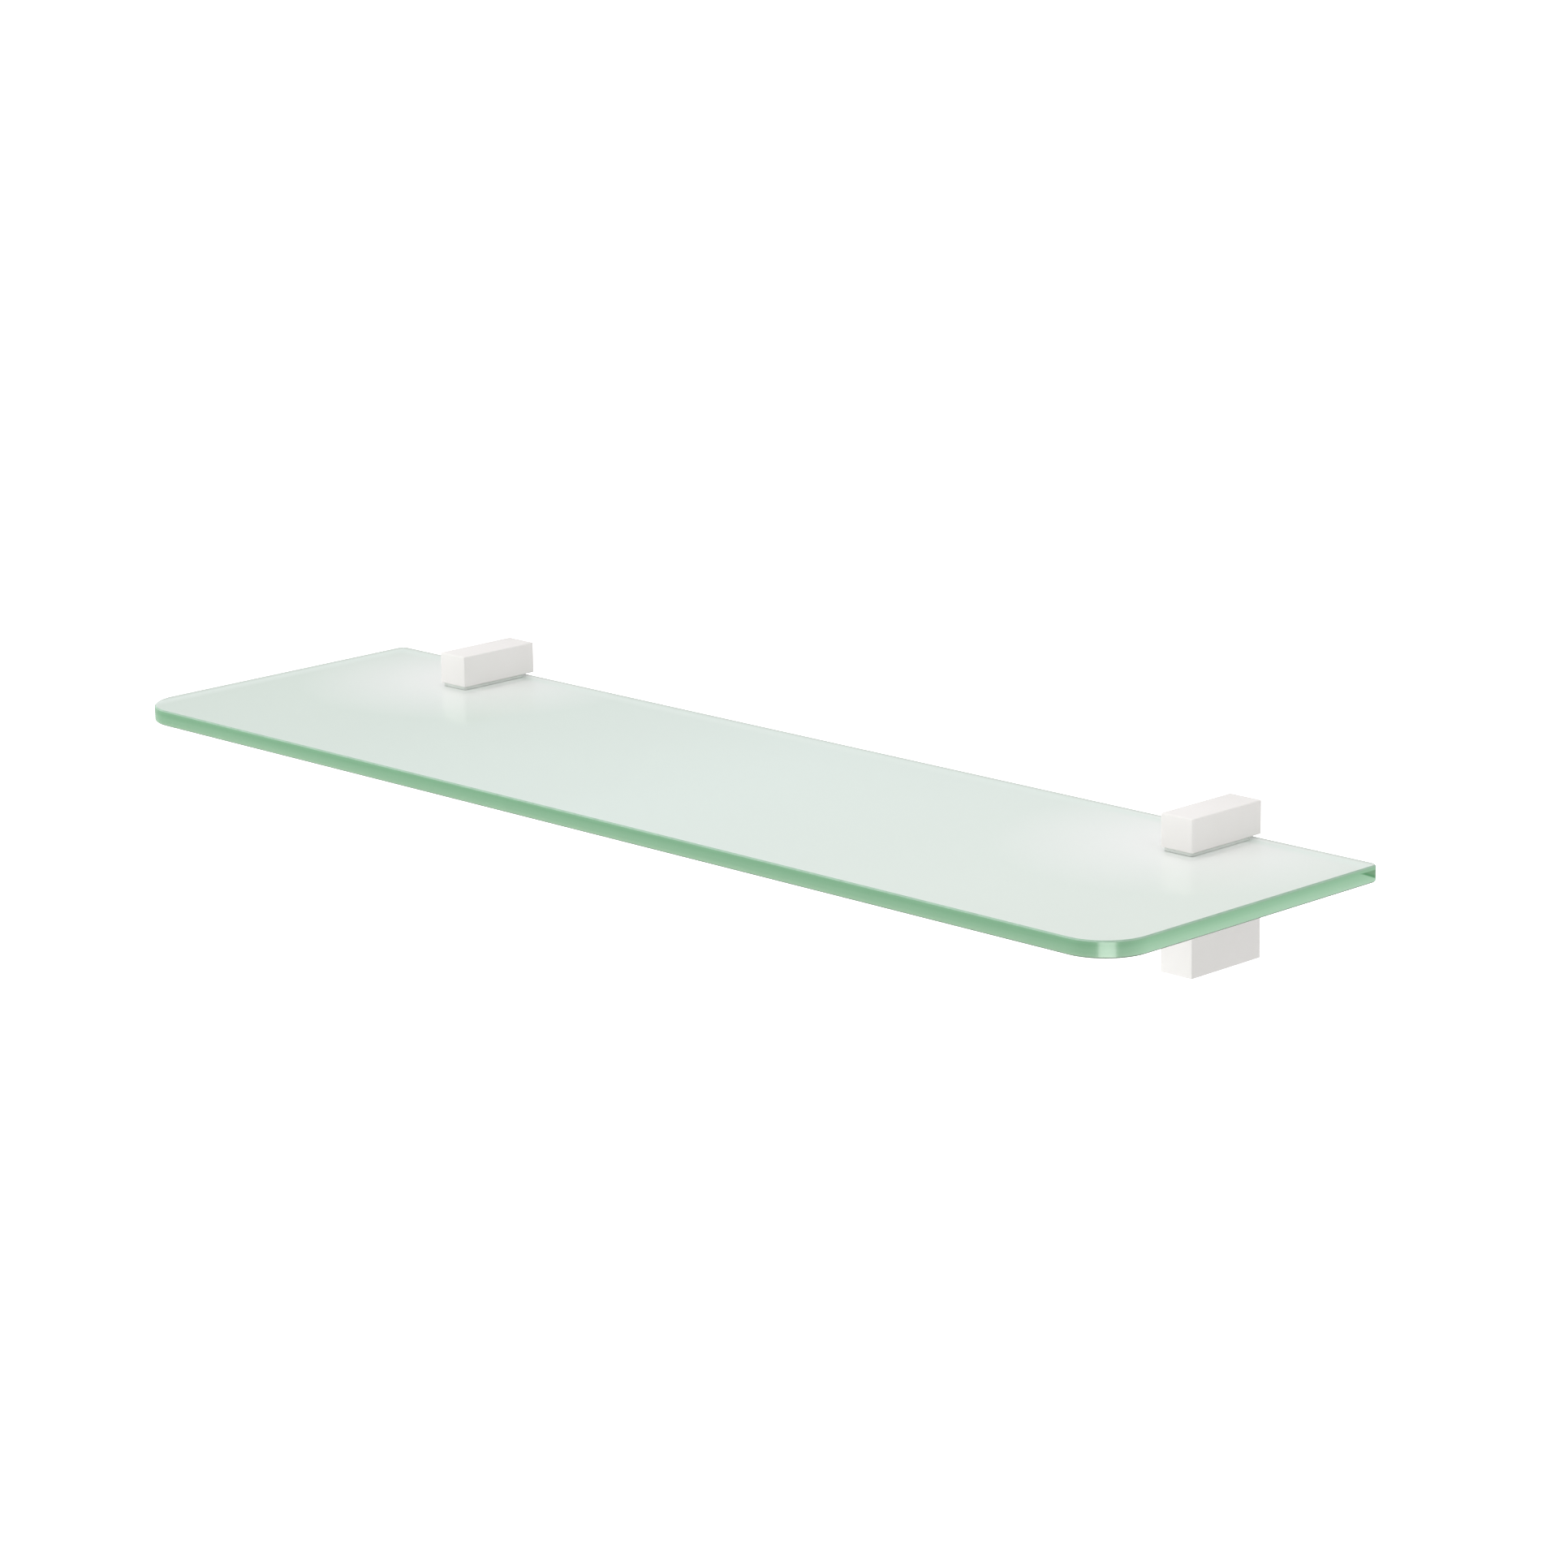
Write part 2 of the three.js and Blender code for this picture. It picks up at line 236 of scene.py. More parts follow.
def satin_glass():
    """Acid-etched face: milky and pale green, with a very fine grain. Light and shade are painted into its
    colour: painted shade darkest at its left end, a painted pool of light beside each white block, a
    painted band of light near its back and left edges, and painted grey shade along those two edges."""
    m = Nodes("satin_glass")
    m.set(IOR=1.52, Transmission_Weight=0.1, Roughness=0.42, Coat_Weight=0.95, Coat_Roughness=0.06)
    low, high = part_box("glass_shelf")
    # painted shade: the face is darkest at its left end and palest in the middle
    colour = m.ramp(m.span(m.axis("X"), low.x, high.x), [
        (0.0, (0.67, 0.80, 0.71)),
        (0.5, (0.78, 0.905, 0.84)),
        (1.0, (0.785, 0.87, 0.80)),
    ])
    colour = m.mix(1, colour, m.grain(9, 2, 0.975, 1.0), "MULTIPLY")
    for side in SIDES:
        low_block, high_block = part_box(f"{side}_upper_block")
        beside = (low_block.x, (low_block.y + high_block.y) / 2, low_block.z)
        # painted light: a pale pool beside each upper block
        painted_pool = m.span(m.distance(beside), *POOL, 0.9, 0.0)
        colour = m.mix(painted_pool, colour, (0.99, 1.0, 0.99))
    from_left = m.math("SUBTRACT", m.axis("X"), low.x)
    from_back = m.math("SUBTRACT", high.y, m.axis("Y"))
    edge = m.least(from_left, from_back)
    # painted light: a paler band near the back and left edges
    pale = m.least(m.span(edge, *BAND[:2]), m.span(edge, *BAND[2:], 1.0, 0.0))
    colour = m.mix(m.math("MULTIPLY", pale, 0.8), colour, (0.81, 0.925, 0.86))
    # painted shade: a greyer rim along the back and left edges
    rim = m.span(edge, RIM_START, RIM_END, 0.9, 0.0)
    m.link(m.mix(rim, colour, (0.60, 0.68, 0.61)), "Base Color")
    m.bump(m.noise(6000, 2), 0.15, 0.02 * MM)
    return m.material


def glass_edge():
    """The polished edge, with light and shade painted into its colour: painted shade darkest green near its
    top and paler below, with faint streaks along it, and painted shade darker in front than at the ends.
    Near the back, each end has a painted reflection of the darker back edge seen through the glass, as a
    wedge."""
    m = Nodes("glass_edge")
    low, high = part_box("glass_shelf")
    m.set(IOR=1.52, Roughness=0.2, Specular_IOR_Level=0.9)
    height = m.span(m.axis("Z"), low.z + GLASS_ARRIS, high.z - GLASS_ARRIS)
    shifted = m.math("ADD", height, m.grain(14, 3, -0.08, 0.08, 0.6, (1, 1, 40)))
    # painted shade: each ramp is darkest near the top and paler below, and the front is darker than the
    # ends
    front = m.ramp(shifted, [
        (0.0, (0.255, 0.435, 0.275)),
        (0.3, (0.20, 0.39, 0.235)),
        (0.8, (0.145, 0.34, 0.185)),
        (1.0, (0.17, 0.37, 0.21)),
    ])
    end = m.ramp(shifted, [
        (0.0, (0.45, 0.72, 0.505)),
        (0.3, (0.38, 0.675, 0.44)),
        (0.8, (0.285, 0.575, 0.345)),
        (1.0, (0.28, 0.54, 0.33)),
    ])
    green = m.mix(m.span(m.axis("Y"), low.y, low.y + GLASS_FRONT_RADIUS), front, end)
    from_left = m.math("SUBTRACT", m.axis("X"), low.x)
    from_right = m.math("SUBTRACT", high.x, m.axis("X"))
    from_back = m.math("SUBTRACT", high.y, m.axis("Y"))
    above = m.math("SUBTRACT", height, m.math("MULTIPLY", from_back, WEDGE_TOP / WEDGE_LENGTH))
    over_slope = m.span(above, -0.02, 0.08)
    under_top = m.span(height, WEDGE_TOP - 0.05, WEDGE_TOP + 0.04, 1.0, 0.0)
    on_end = m.span(m.least(from_left, from_right), GLASS_BACK_RADIUS / 2, GLASS_BACK_RADIUS, 1.0, 0.0)
    # painted reflection: the darker back edge seen through the glass, as a wedge at each end
    painted_reflection_wedge = m.ramp(above, [(0.1, (0.055, 0.30, 0.10)), (0.3, (0.15, 0.36, 0.175))])
    m.link(m.mix(m.least(over_slope, under_top, on_end), green, painted_reflection_wedge), "Base Color")
    m.bump(m.noise(70, 2), 0.1, 0.2 * MM)
    return m.material


def glass_arris():
    """The narrow ground chamfers above and below the edge, with painted shade: the lower one darker, the
    upper paler.
    """
    m = Nodes("glass_arris")
    m.set(IOR=1.52, Roughness=0.25)
    low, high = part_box("glass_shelf")
    upper = m.span(m.axis("Z"), low.z + GLASS_ARRIS, high.z - GLASS_ARRIS)
    # painted shade: darker on the lower chamfer, paler on the upper
    green = m.mix(upper, (0.12, 0.21, 0.13), (0.36, 0.54, 0.41))
    m.link(m.mix(1, green, m.grain(400, 2, 0.88, 1.0), "MULTIPLY"), "Base Color")
    return m.material


def white_paint():
    """Satin powder coat: a fine orange peel, and a slightly uneven sheen."""
    m = Nodes("white_paint")
    m.link(m.mix(m.grain(60, 3), (0.87, 0.845, 0.825), (0.885, 0.86, 0.845)), "Base Color")
    m.link(m.grain(900, 2, 0.34, 0.42), "Roughness")
    m.bump(m.noise(2600, 3), 0.12, 0.06 * MM)
    return m.material


def clear_pad():
    """Soft vinyl. It passes little light here, which gives the photo's thin grey-green line."""
    m = Nodes("clear_pad")
    m.set(IOR=1.45, Transmission_Weight=0.05)
    m.link(m.mix(m.grain(300, 2), (0.68, 0.72, 0.68), (0.75, 0.79, 0.75)), "Base Color")
    m.link(m.grain(900, 2, 0.4, 0.6), "Roughness")
    m.bump(m.noise(2500, 2), 0.2, 0.05 * MM)
    return m.material


def zinc_steel():
    """Bright zinc plate over turned or pressed steel."""
    m = Nodes("steel")
    m.set(Metallic=1.0)
    tint = m.mix(m.span(m.noise(250, 3), 0.35, 0.65), (0.56, 0.58, 0.61), (0.66, 0.66, 0.66))
    m.link(tint, "Base Color")
    m.link(m.grain(700, 4, 0.22, 0.4, 0.6, (1, 1, 6)), "Roughness")
    m.bump(m.noise(1800, 3, 0.5, (1, 1, 8)), 0.15, 0.05 * MM)
    return m.material


def machined_brass():
    """Brass with fine turning marks."""
    m = Nodes("brass")
    m.set(Metallic=1.0)
    m.link(m.mix(m.grain(400, 3), (0.72, 0.52, 0.22), (0.82, 0.62, 0.30)), "Base Color")
    m.link(m.grain(1500, 3, 0.2, 0.36), "Roughness")
    m.bump(m.noise(3000, 2, 0.5, (1, 1, 10)), 0.12, 0.04 * MM)
    return m.material


def moulded_nylon():
    """Undyed nylon, slightly translucent."""
    m = Nodes("nylon")
    m.set(Subsurface_Weight=0.15)
    m.link(m.mix(m.grain(200, 2), (0.78, 0.76, 0.69), (0.84, 0.82, 0.76)), "Base Color")
    m.link(m.grain(900, 2, 0.45, 0.6), "Roughness")
    m.bump(m.noise(1600, 3), 0.15, 0.05 * MM)
    return m.material


SATIN, EDGE, ARRIS = satin_glass(), glass_edge(), glass_arris()
FINISH = {
    "white_paint": white_paint(),
    "clear_pad": clear_pad(),
    "steel": zinc_steel(),
    "brass": machined_brass(),
    "nylon": moulded_nylon(),
}


# ------------------------------------------------------------------ mesh helpers

def shade(bm):
    """Smooth shading, apart from the sharp edges."""
    for face in bm.faces:
        face.smooth = True
    for edge in bm.edges:
        edge.smooth = len(edge.link_faces) == 2 and edge.calc_face_angle() < SHARP_ANGLE


def new_object(name, bm):
    bmesh.ops.recalc_face_normals(bm, faces=bm.faces)
    shade(bm)
    mesh = bpy.data.meshes.new(name)
    bm.to_mesh(mesh)
    bm.free()
    piece = bpy.data.objects.new(name, mesh)
    bpy.context.scene.collection.objects.link(piece)
    return piece


def add_ring(bm, points):
    return [bm.verts.new(point) for point in points]


def round_ring(bm, x, y, radius, z, sides):
    angles = [2 * math.pi * i / sides for i in range(sides)]
    return add_ring(bm, [(x + radius * math.cos(a), y + radius * math.sin(a), z) for a in angles])


def join_rings(bm, lower, upper):
    """Faces between two rings with the same count of points."""
    count = len(lower)
    for i in range(count):
        j = (i + 1) % count
        bm.faces.new((lower[i], lower[j], upper[j], upper[i]))


def close_stack(bm, rings):
    """Joins each ring to the next, and closes the first and the last."""
    for lower, upper in zip(rings, rings[1:]):
        join_rings(bm, lower, upper)
    bm.faces.new(reversed(rings[0]))
    bm.faces.new(rings[-1])


def turned(profile, x, y, sides=ROUND):
    """A closed solid turned about the upright line through (x, y). The profile's [radius, z] points go
    from the axis back to the axis, or round to the first point again for a ring."""
    bm = bmesh.new()
    rings = []
    for radius, z in profile:
        if radius == 0:
            rings.append([bm.verts.new((x, y, z))])
        else:
            rings.append(round_ring(bm, x, y, radius, z, sides))
    pairs = list(zip(rings, rings[1:]))
    starts_on_axis = profile[0][0] == 0
    if not starts_on_axis:
        pairs.append((rings[-1], rings[0]))
    for a, b in pairs:
        if len(a) == 1:
            for i in range(sides):
                bm.faces.new((a[0], b[i], b[(i + 1) % sides]))
        elif len(b) == 1:
            for i in range(sides):
                bm.faces.new((a[i], b[0], a[(i + 1) % sides]))
        else:
            join_rings(bm, a, b)
    return bm


def rod(x, y, radius, z_low, z_high, sides=ROUND):
    return turned([(0, z_low), (radius, z_low), (radius, z_high), (0, z_high)], x, y, sides)


def hexagon(x, y, across_flats, z_low, z_high):
    return rod(x, y, across_flats / 2 / math.cos(math.pi / 6), z_low, z_high, 6)


def eased_bore(x, y, radius, z_low, z_high):
    """A cutter for a blind bore up from z_low, with a chamfer round its mouth."""
    return turned([
        (0, z_low - RIM_CHAMFER),
        (radius + 2 * RIM_CHAMFER, z_low - RIM_CHAMFER),
        (radius, z_low + RIM_CHAMFER),
        (radius, z_high),
        (0, z_high),
    ], x, y)


def arc(x, y, radius, start, sweep, steps):
    """Points round (x, y), from the angle start on through sweep."""
    angles = [start + sweep * i / steps for i in range(steps + 1)]
    return [(x + radius * math.cos(angle), y + radius * math.sin(angle)) for angle in angles]


def outline(low, high, front_radius, back_radius, steps):
    """A rectangle's rounded outline from low to high, as (x, y) points, going anticlockwise."""
    corners = (
        (low.x + front_radius, low.y + front_radius, front_radius, 2 * QUARTER),
        (high.x - front_radius, low.y + front_radius, front_radius, 3 * QUARTER),
        (high.x - back_radius, high.y - back_radius, back_radius, 0),
        (low.x + back_radius, high.y - back_radius, back_radius, QUARTER),
    )
    points = []
    for x, y, radius, start in corners:
        points += arc(x, y, radius, start, QUARTER, steps)
    return points


def slab(low, high, front_radius, back_radius, easing, rounds, steps):
    """A plate from low to high with a rounded outline. Its upper and lower edges are eased by `easing`,
    as one chamfer when rounds is 1, or as a round in that many steps."""
    bm = bmesh.new()
    rings = []
    levels = []
    for i in range(rounds + 1):
        angle = QUARTER * i / rounds
        levels.append((easing * (1 - math.sin(angle)), low.z + easing * (1 - math.cos(angle))))
    levels += [(inset, low.z + high.z - z) for inset, z in reversed(levels)]
    for inset, z in levels:
        shrink = Vector((inset, inset, 0))
        points = outline(low + shrink, high - shrink, front_radius - inset, back_radius - inset, steps)
        rings.append(add_ring(bm, [(x, y, z) for x, y in points]))
    close_stack(bm, rings)
    return bm


def rounded_box(low, high, rounding):
    bm = bmesh.new()
    bmesh.ops.create_cube(bm, size=1)
    size = high - low
    middle = (low + high) / 2
    bmesh.ops.transform(bm, matrix=Matrix.Translation(middle) @ Matrix.Diagonal((*size, 1)), verts=bm.verts)
    bmesh.ops.bevel(
        bm, geom=list(bm.edges), offset=rounding, segments=5, profile=0.5, affect="EDGES",
    )
    return bm


def carve(piece, *cutters):
    """Takes each cutter's bmesh away from the piece."""
    for cutter in cutters:
        tool = new_object("cutter", cutter)
        change = piece.modifiers.new("carve", "BOOLEAN")
        change.object = tool
        change.operation = "DIFFERENCE"
        change.solver = "EXACT"
        apply_modifiers(piece)
        bpy.data.objects.remove(tool)
    resharpen(piece)
    return piece


def apply_modifiers(piece):
    bpy.context.view_layer.update()
    shaped = piece.evaluated_get(bpy.context.evaluated_depsgraph_get())
    mesh = bpy.data.meshes.new_from_object(shaped)
    piece.modifiers.clear()
    piece.data = mesh


def resharpen(piece):
    """Shades the piece again after a modifier, which leaves doubled points and old sharp edges."""
    bm = bmesh.new()
    bm.from_mesh(piece.data)
    bmesh.ops.remove_doubles(bm, verts=bm.verts, dist=1e-7)
    shade(bm)
    bm.to_mesh(piece.data)
    bm.free()


def stand_in(piece, node, materials):
    """piece stands for the CAD node, rides on its body and takes its finish from its slot."""
    piece.name = f"{node}_fine"
    for material in materials:
        piece.data.materials.append(material)
    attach(piece, BODY_OF[node])
    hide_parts(node)
    return piece


# ------------------------------------------------------------------ pieces

def axis_of(node):
    """The x and y of an upright round piece's axis."""
    low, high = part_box(node)
    return (low.x + high.x) / 2, (low.y + high.y) / 2


def glass_shelf():
    low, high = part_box("glass_shelf")
    piece = new_object("glass", slab(low, high, GLASS_FRONT_RADIUS, GLASS_BACK_RADIUS, GLASS_ARRIS, 1, 24))
    for side in SIDES:
        x, y = axis_of(f"{side}_glass_bush")
        over = 2 * GLASS_ARRIS
        wide = GLASS_HOLE + GLASS_ARRIS + over
        carve(piece, turned([
            (0, low.z - over),
            (wide, low.z - over),
            (GLASS_HOLE, low.z + GLASS_ARRIS),
            (GLASS_HOLE, high.z - GLASS_ARRIS),
            (wide, high.z + over),
            (0, high.z + over),
        ], x, y))
    stand_in(piece, "glass_shelf", [SATIN, EDGE, ARRIS])
    satin, edge, arris = range(3)
    for face in piece.data.polygons:
        level = abs(face.normal.z)
        face.material_index = satin if level > 0.95 else edge if level < 0.2 else arris


def upper_block(side):
    node = f"{side}_upper_block"
    low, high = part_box(node)
    x, y = axis_of(f"{side}_clamp_screw")
    piece = new_object(node, rounded_box(low, high, BLOCK_ROUNDING))
    carve(piece, eased_bore(x, y, INSERT_BORE, low.z, low.z + INSERT_BORE_DEPTH))
    stand_in(piece, node, [FINISH["white_paint"]])


def recess_cutter(low, high):
    """The lower block's rear recess, with round corners and an eased mouth."""
    bm = bmesh.new()
    rings = []
    left, right = low.x + RECESS_WALL, high.x - RECESS_WALL
    bottom, top = low.z + RECESS_FLOOR, high.z - RECESS_ROOF
    levels = (
        (-RECESS_DEPTH, 0),
        (-RIM_CHAMFER, 0),
        (RIM_CHAMFER, 2 * RIM_CHAMFER),
    )
    for from_back, flare in levels:
        start = Vector((left - flare, bottom - flare, 0))
        end = Vector((right + flare, top + flare, 0))
        corner = RECESS_CORNER + flare
        points = outline(start, end, corner, corner, 6)
        rings.append(add_ring(bm, [(px, high.y + from_back, pz) for px, pz in points]))
    for a, b in zip(rings, rings[1:]):
        join_rings(bm, a, b)
    bm.faces.new(rings[0])
    bm.faces.new(reversed(rings[-1]))
    return bm


def lower_block(side):
    node = f"{side}_lower_block"
    low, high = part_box(node)
    x, y = axis_of(f"{side}_clamp_screw")
    grub_x, grub_y = axis_of(f"{side}_grub_screw")
    piece = new_object(node, rounded_box(low, high, BLOCK_ROUNDING))
    well_top = high.z - WELL_ROOF
    well = eased_bore(x, y, WELL, low.z, well_top)
    running_hole = rod(x, y, RUNNING_HOLE, well_top - MM, high.z + MM)
    grub_hole = eased_bore(grub_x, grub_y, GRUB_HOLE, low.z, low.z + RECESS_FLOOR + MM)
    carve(piece, recess_cutter(low, high), well, running_hole, grub_hole)
    stand_in(piece, node, [FINISH["white_paint"]])


def pad(side, level):
    node = f"{side}_{level}_pad"
    low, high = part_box(node)
    x, y = axis_of(f"{side}_clamp_screw")
    piece = new_object(node, slab(low, high, PAD_CORNER, PAD_CORNER, PAD_EASING, 3, 6))
    carve(piece, rod(x, y, PAD_HOLE, low.z - MM, high.z + MM))
    stand_in(piece, node, [FINISH["clear_pad"]])


def glass_bush(side):
    node = f"{side}_glass_bush"
    low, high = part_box(node)
    outer = (high.x - low.x) / 2
    ease = 0.3 * MM
    profile = [
        (RUNNING_HOLE, low.z + ease), (RUNNING_HOLE + ease, low.z), (outer - ease, low.z),
        (outer, low.z + ease), (outer, high.z - ease), (outer - ease, high.z),
        (RUNNING_HOLE + ease, high.z), (RUNNING_HOLE, high.z - ease),
    ]
    stand_in(new_object(node, turned(profile, *axis_of(node))), node, [FINISH["nylon"]])


def thread_insert(side):
    """Knurled outside in two bands, with a groove between them."""
    node = f"{side}_thread_insert"
    low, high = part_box(node)
    x, y = axis_of(node)
    outer = (high.x - low.x) / 2
    groove = outer - 0.4 * MM
    middle = (low.z + high.z) / 2
    mouth, bottom = 0.6 * MM, 0.45 * MM           # half the groove's height, outside and inside
    ease = 0.2 * MM
    profile = [
        (RUNNING_HOLE, low.z + ease), (RUNNING_HOLE + ease, low.z), (outer - ease, low.z),
        (outer, low.z + ease), (outer, middle - mouth), (groove, middle - bottom),
        (groove, middle + bottom), (outer, middle + mouth), (outer, high.z - ease),
        (outer - ease, high.z), (RUNNING_HOLE + ease, high.z), (RUNNING_HOLE, high.z - ease),
    ]
    bm = turned(profile, x, y, INSERT_SIDES)
    for vert in bm.verts:
        arm = Vector((vert.co.x - x, vert.co.y - y, 0))
        if arm.length > outer - KNURL_DEPTH / 2:
            tooth = round(math.atan2(arm.y, arm.x) / (2 * math.pi) * INSERT_SIDES) % 2
            vert.co -= arm.normalized() * KNURL_DEPTH * tooth
    stand_in(new_object(node, bm), node, [FINISH["brass"]])


def clamp_washer(side):
    node = f"{side}_clamp_washer"
    low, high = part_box(node)
    outer = (high.x - low.x) / 2
    ease = 0.15 * MM
    profile = [
        (RUNNING_HOLE, low.z), (outer - ease, low.z), (outer, low.z + ease),
        (outer, high.z - ease), (outer - ease, high.z), (RUNNING_HOLE, high.z),
    ]
    stand_in(new_object(node, turned(profile, *axis_of(node))), node, [FINISH["steel"]])


def thread_radius(z, angle):
    """A right-hand thread's surface: a trough once every pitch, with a flat crest."""
    phase = (z / THREAD_PITCH - angle / (2 * math.pi)) % 1
    slope = min(abs(phase - 0.5) / THREAD_FLANK, 1)
    return SCREW_RADIUS - THREAD_DEPTH * (1 - slope)


def threaded_rings(bm, x, y, z_low, z_high):
    """Rings up a threaded length."""
    steps = max(2, round((z_high - z_low) / THREAD_PITCH * RINGS_PER_PITCH))
    angles = [2 * math.pi * i / SCREW_SIDES for i in range(SCREW_SIDES)]
    rings = []
    for k in range(steps + 1):
        z = z_low + (z_high - z_low) * k / steps
        points = []
        for angle in angles:
            radius = thread_radius(z, angle)
            points.append((x + radius * math.cos(angle), y + radius * math.sin(angle), z))
        rings.append(add_ring(bm, points))
    return rings


def clamp_screw(side):
    """A socket head cap screw: a knurled head and a rolled thread."""
    node = f"{side}_clamp_screw"
    low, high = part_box(node)
    x, y = axis_of(node)
    head = (high.x - low.x) / 2
    head_top = low.z + SCREW_HEAD_HEIGHT
    chamfer, rim = 0.4 * MM, 0.1 * MM
    shank_end, thread_start, thread_end = head_top + 2 * MM, head_top + 2.4 * MM, high.z - 0.5 * MM
    tip = SCREW_RADIUS - THREAD_DEPTH - 0.1 * MM
    bm = bmesh.new()
    rings = [round_ring(bm, x, y, radius, z, SCREW_SIDES) for radius, z in (
        (head - chamfer, low.z),
        (head, low.z + chamfer),
        (head, head_top - rim),
        (head - rim, head_top),
        (SCREW_RADIUS, head_top),
        (SCREW_RADIUS, shank_end),
    )]
    rings += threaded_rings(bm, x, y, thread_start, thread_end)
    rings.append(round_ring(bm, x, y, tip, high.z, SCREW_SIDES))
    close_stack(bm, rings)
    for ring in rings[1:3]:
        for vert in ring[::2]:
            arm = Vector((vert.co.x - x, vert.co.y - y, 0)).normalized()
            vert.co -= arm * KNURL_DEPTH
    piece = new_object(node, bm)
    carve(piece, hexagon(x, y, CLAMP_SOCKET, low.z - MM, low.z + CLAMP_SOCKET_DEPTH))
    stand_in(piece, node, [FINISH["steel"]])


def grub_screw(side):
    """A headless screw, threaded all the way, with a socket in its lower end."""
    node = f"{side}_grub_screw"
    low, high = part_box(node)
    x, y = axis_of(node)
    root = SCREW_RADIUS - THREAD_DEPTH
    chamfer = 0.35 * MM
    bm = bmesh.new()
    rings = [round_ring(bm, x, y, root, low.z, SCREW_SIDES)]
    rings += threaded_rings(bm, x, y, low.z + chamfer, high.z - chamfer)
    rings.append(round_ring(bm, x, y, root, high.z, SCREW_SIDES))
    close_stack(bm, rings)
    piece = new_object(node, bm)
    carve(piece, hexagon(x, y, GRUB_SOCKET, low.z - MM, low.z + GRUB_SOCKET_DEPTH))
    stand_in(piece, node, [FINISH["steel"]])


def wall_plate(side):
    """A folded clip, with round bends, two countersunk holes in its web and eased edges."""
    node = f"{side}_wall_plate"
    low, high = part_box(node)
    middle = (low + high) / 2
    outer_bend = PLATE_BEND + PLATE_FLANGE
    steps = 6
    back = high.y
    web_front = high.y - PLATE_THICKNESS
    lower_inner, upper_inner = low.z + PLATE_FLANGE, high.z - PLATE_FLANGE
    section = [(low.y, low.z)]
    section += arc(back - outer_bend, low.z + outer_bend, outer_bend, -QUARTER, QUARTER, steps)
    section += arc(back - outer_bend, high.z - outer_bend, outer_bend, 0, QUARTER, steps)
    section += [(low.y, high.z), (low.y, upper_inner)]
    section += arc(web_front - PLATE_BEND, upper_inner - PLATE_BEND, PLATE_BEND, QUARTER, -QUARTER, steps)
    section += arc(web_front - PLATE_BEND, lower_inner + PLATE_BEND, PLATE_BEND, 0, -QUARTER, steps)
    section.append((low.y, lower_inner))
    bm = bmesh.new()
    close_stack(bm, [add_ring(bm, [(x, y, z) for y, z in section]) for x in (low.x, high.x)])
    piece = new_object(node, bm)
    cutters = []
    depth = PLATE_SINK - PLATE_HOLE
    for z in (lower_inner + PLATE_HOLE_FROM_FLANGE, upper_inner - PLATE_HOLE_FROM_FLANGE):
        hole = turned([
            (0, -MM),
            (PLATE_HOLE, -MM),
            (PLATE_HOLE, PLATE_THICKNESS - depth),
            (PLATE_SINK + MM, PLATE_THICKNESS + MM),
            (0, PLATE_THICKNESS + MM),
        ], 0, 0)
        turn = Matrix.Translation((middle.x, back, z)) @ Matrix.Rotation(QUARTER, 4, "X")
        bmesh.ops.transform(hole, matrix=turn, verts=hole.verts)
        cutters.append(hole)
    carve(piece, *cutters)
    ease = piece.modifiers.new("ease", "BEVEL")
    ease.width = PLATE_EASING
    ease.segments = 2
    ease.limit_method = "ANGLE"
    ease.angle_limit = math.radians(50)
    apply_modifiers(piece)
    resharpen(piece)
    stand_in(piece, node, [FINISH["steel"]])


glass_shelf()
for side in SIDES:
    upper_block(side)
    lower_block(side)
    pad(side, "upper")
    pad(side, "lower")
    glass_bush(side)
    thread_insert(side)
    clamp_washer(side)
    clamp_screw(side)
    grub_screw(side)
    wall_plate(side)


# ------------------------------------------------------------------ stage, light and camera

def only_for_camera(thing, wanted):
    """Shows a stage object to the camera alone, or to everything but the camera."""
    thing.visible_camera = wanted
    for kind in ("diffuse", "glossy", "transmission", "shadow"):
        setattr(thing, f"visible_{kind}", not wanted)


def floor():
    """A wide pale floor, well below the shelf, which bounces light up at it. The camera sees a white
    sheet just above it instead, and a white backdrop all round, so that no horizon shows in any view."""
    pale, white = Nodes("pale_floor"), Nodes("white_backdrop")
    pale.set(Base_Color=(0.9, 0.9, 0.9, 1), Roughness=0.9)
    white.set(Base_Color=(1, 1, 1, 1), Roughness=0.9, Emission_Color=(1, 1, 1, 1), Emission_Strength=1)
    bpy.ops.mesh.primitive_plane_add(size=FLOOR_WIDTH, location=(0, 0, FLOOR_HEIGHT))
    stage = [bpy.context.object]
    bpy.ops.mesh.primitive_plane_add(size=FLOOR_WIDTH, location=(0, 0, FLOOR_HEIGHT + SHEET_ABOVE_FLOOR))
    stage.append(bpy.context.object)
    bpy.ops.mesh.primitive_uv_sphere_add(segments=48, ring_count=24, radius=BACKDROP_RADIUS)
    stage.append(bpy.context.object)
    for thing, name in zip(stage, ("floor", "white_sheet", "backdrop")):
        thing.name = name
        thing.data.materials.append((pale if name == "floor" else white).material)
        only_for_camera(thing, name != "floor")


def sky():
    world = bpy.data.worlds.new("studio")
    world.use_nodes = True
    background = world.node_tree.nodes["Background"]
    background.inputs["Color"].default_value = (1, 1, 1, 1)
    background.inputs["Strength"].default_value = SKY_STRENGTH
    bpy.context.scene.world = world


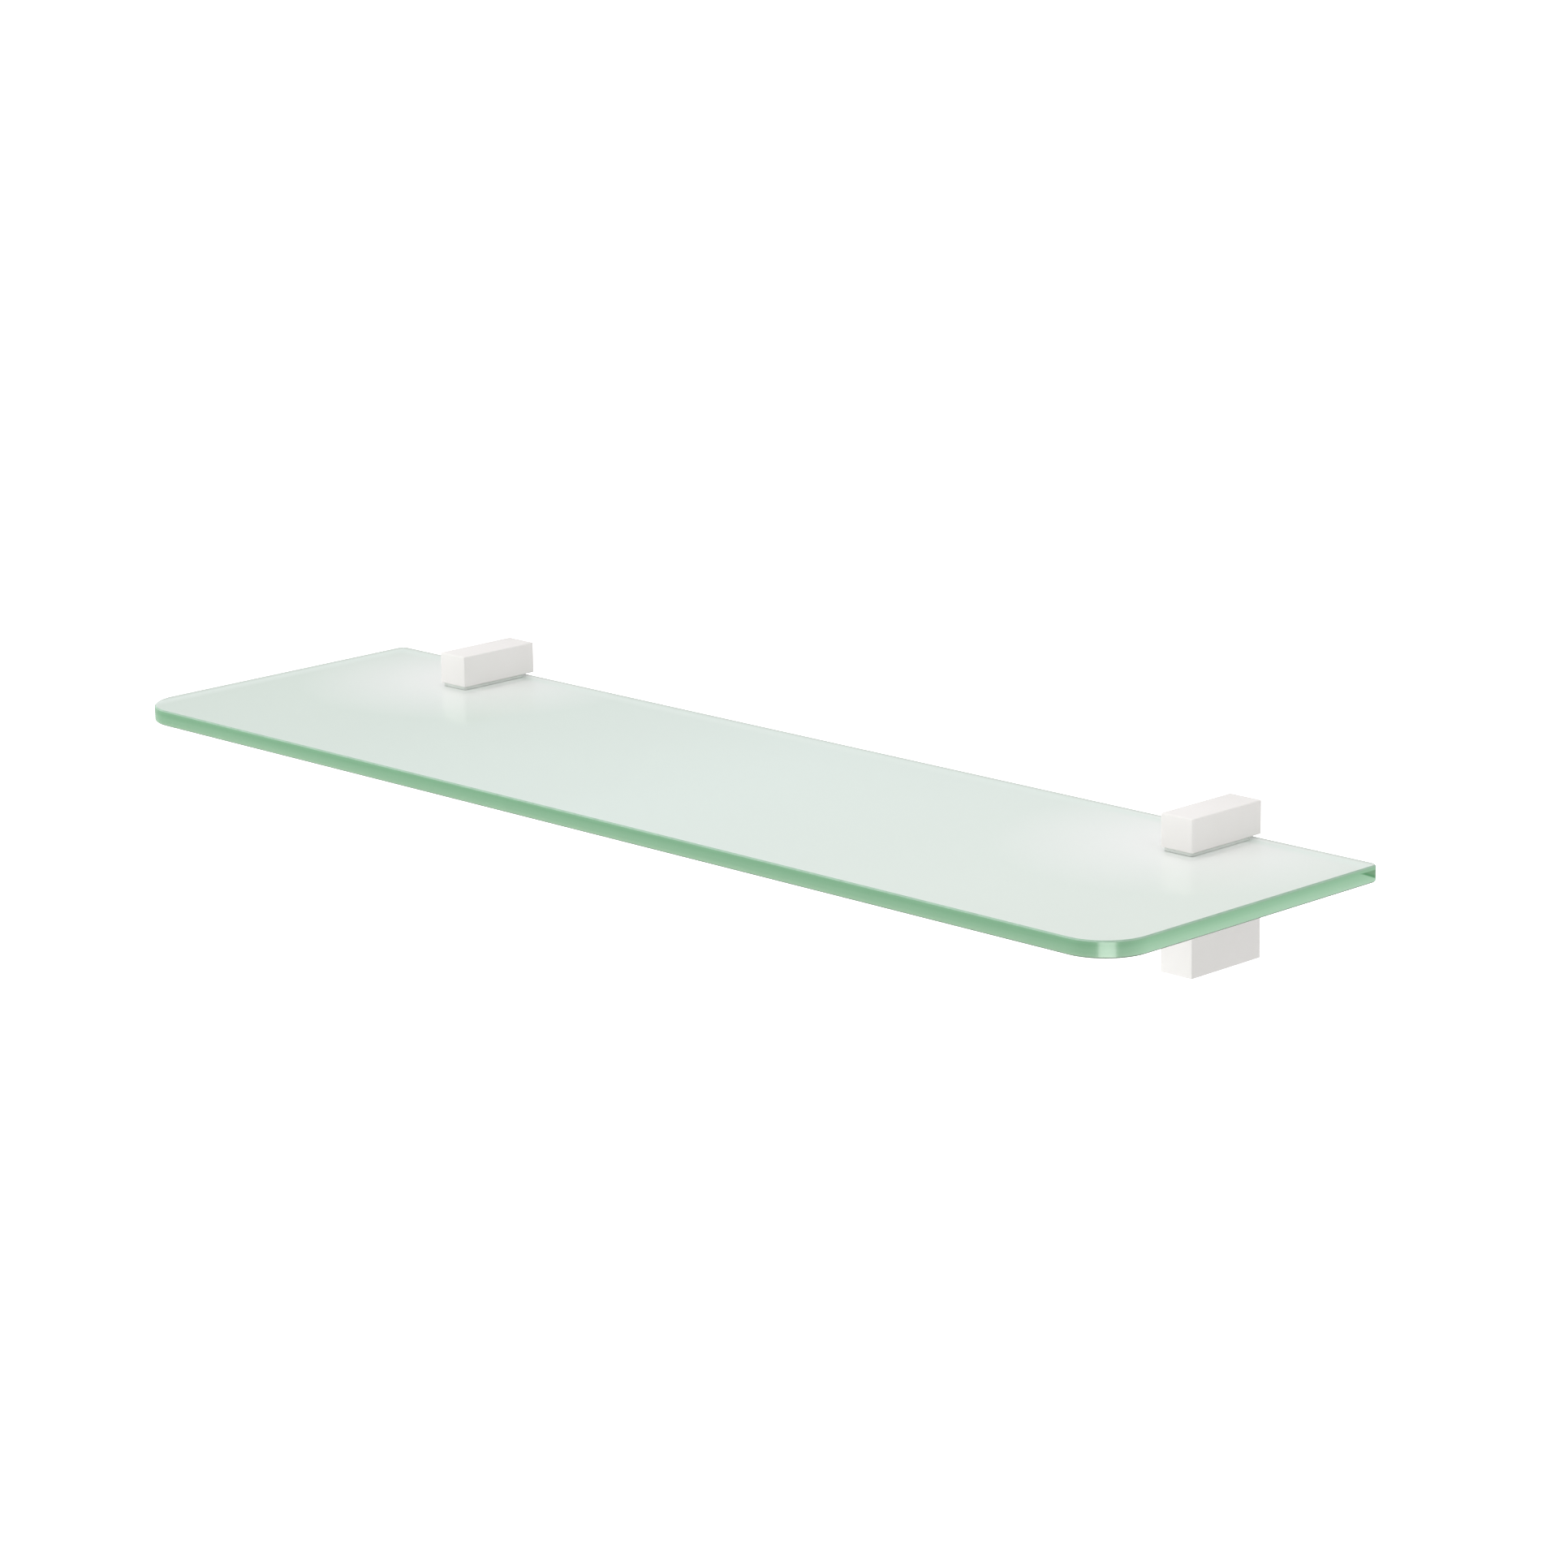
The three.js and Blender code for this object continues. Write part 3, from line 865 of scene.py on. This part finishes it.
def soft_light(name, place, width, height, power, shadow=True, mirrored=False):
    """A rectangular lamp that faces the shelf, and isn't seen itself. A mirrored one shows in reflections
    and does nothing else, and the others never show there, so no lamp washes out the glass. One without
    shadow shines through the blocks, so it throws no shadow of them on the glass."""
    lamp = bpy.data.lights.new(name, "AREA")
    lamp.shape = "RECTANGLE"
    lamp.size = width
    lamp.size_y = height
    lamp.energy = power
    lamp.use_shadow = shadow
    holder = bpy.data.objects.new(name, lamp)
    holder.location = place
    holder.rotation_euler = (-Vector(place)).to_track_quat("-Z", "Y").to_euler()
    holder.visible_camera = False
    holder.visible_glossy = mirrored
    holder.visible_diffuse = not mirrored
    holder.visible_transmission = not mirrored
    bpy.context.scene.collection.objects.link(holder)


def camera():
    """The view from the front right, a little above the glass."""
    low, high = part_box("glass_shelf")
    aim = Vector(((low.x + high.x) / 2, (low.y + high.y) / 2, high.z)) + CAMERA_AIM
    back = Vector((
        math.sin(CAMERA_AZIMUTH) * math.cos(CAMERA_ELEVATION),
        -math.cos(CAMERA_AZIMUTH) * math.cos(CAMERA_ELEVATION),
        math.sin(CAMERA_ELEVATION),
    ))
    view = bpy.data.cameras.new("camera")
    view.sensor_width = CAMERA_SENSOR
    view.lens = CAMERA_LENS
    view.clip_start = 0.01
    holder = bpy.data.objects.new("camera", view)
    holder.location = aim + back * CAMERA_DISTANCE
    holder.rotation_mode = "QUATERNION"
    holder.rotation_quaternion = (-back).to_track_quat("-Z", "Y") @ Quaternion((0, 0, 1), CAMERA_ROLL)
    bpy.context.scene.collection.objects.link(holder)
    bpy.context.scene.camera = holder


floor()
sky()
soft_light("key", (-1.6, -2.6, 1.2), 1.6, 1.6, 27)
soft_light("front_low", (-1.2, -2.6, -0.5), 1.6, 0.8, 15.5)
soft_light("overhead", (0, 0, 2.5), 2, 2, 8.5)
soft_light("from_right", (1.5, -0.3, 1.5), 1, 1, 5)
soft_light("from_left", (-2.6, -0.2, 0.1), 1.4, 0.6, 20, shadow=False)
soft_light("corner_highlight", (1.46, -1.29, -0.48), 1.1, 0.9, 12, mirrored=True)
camera()
bpy.context.scene.view_settings.view_transform = "Standard"
bpy.context.scene.cycles.use_denoising = True
